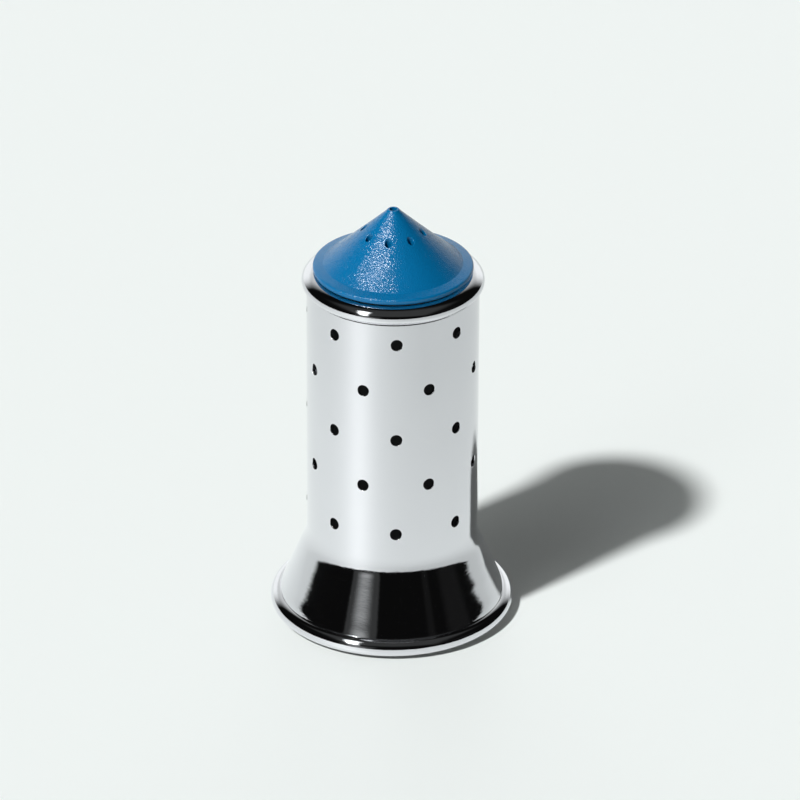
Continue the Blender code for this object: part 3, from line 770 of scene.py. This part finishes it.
def studioWorld():
    # Dark room, pale low behind, with a few soft panels. A panel's level holds where the direction's parts
    # along its width and its rise stay inside it. The camera itself sees only pale.
    world = bpy.data.worlds.new("studio")
    scene.world = world
    world.use_nodes = True
    tree = world.node_tree
    sky = tree.nodes["Background"]
    sky.inputs["Color"].default_value = (*studio["sky"], 1.0)
    where = tree.nodes.new("ShaderNodeTexCoord")

    def along(way):
        made = tree.nodes.new("ShaderNodeVectorMath")
        made.operation = "DOT_PRODUCT"
        made.inputs[1].default_value = way
        tree.links.new(where.outputs["Generated"], made.inputs[0])
        return made.outputs["Value"]

    def fade(value, zero, one):
        made = ramped(tree, value, (zero, one), (0.0, 1.0))
        made.interpolation_type = "SMOOTHSTEP"
        return made.outputs["Result"]

    low = fade(along((0, 0, 1)), studio["highTo"], studio["highFrom"])
    low = worked(tree, "MULTIPLY_ADD", low, 1.0 - studio["paleHigh"], studio["paleHigh"])
    light = worked(tree, "MULTIPLY", fade(along((0, 1, 0)), studio["paleFrom"], studio["paleTo"]), low)
    light = worked(tree, "MULTIPLY_ADD", light, studio["pale"], studio["dark"])
    for turn, height, lean, width, widthSoft, rise, riseSoft, level in studio["panels"]:
        way, right = lampWay(turn, height), lampWay(turn + 90.0, 0.0)
        right.rotate(Quaternion(way, math.radians(-lean)))
        inWidth = fade(worked(tree, "ABSOLUTE", along(right)), width + widthSoft, width)
        inRise = fade(worked(tree, "ABSOLUTE", along(right.cross(way))), rise + riseSoft, rise)
        inFront = fade(along(way), *studio["panelFront"])
        lit = worked(tree, "MULTIPLY", worked(tree, "MULTIPLY", inWidth, inRise), inFront)
        light = worked(tree, "MULTIPLY_ADD", lit, level, light)
    seen = tree.nodes.new("ShaderNodeLightPath")
    shown = tree.nodes.new("ShaderNodeMix")
    shown.inputs["B"].default_value = studio["backdrop"]
    tree.links.new(seen.outputs["Is Camera Ray"], shown.inputs["Factor"])
    tree.links.new(light, shown.inputs["A"])
    tree.links.new(shown.outputs["Result"], sky.inputs["Strength"])


photoView = {                          # metres and degrees; the lens and the sensor's width in mm
    "turn": -2.66, "height": 28.0, "roll": 0.28, "distance": 1.7194, "level": 0.04292, "aside": 0.00138,
    "lens": 415.98, "sensor": 36.0, "farthest": 50.0,
}


def photoCamera():
    view = bpy.data.objects.new("camera", bpy.data.cameras.new("camera"))
    view.data.lens = photoView["lens"]
    view.data.sensor_width = photoView["sensor"]
    view.data.clip_end = photoView["farthest"]
    back, right = lampWay(photoView["turn"], photoView["height"]), lampWay(photoView["turn"] + 90.0, 0.0)
    rolled = Matrix.Rotation(math.radians(photoView["roll"]), 3, "Z")
    facing = back.to_track_quat("Z", "Y").to_matrix() @ rolled
    place = Vector((0, 0, photoView["level"])) + right * photoView["aside"] + back * photoView["distance"]
    view.matrix_world = Matrix.Translation(place) @ facing.to_4x4()
    scene.collection.objects.link(view)
    scene.camera = view


paleFloor()
keyLamp()
studioWorld()
photoCamera()
scene.view_settings.view_transform = "Standard"
print("studio done")
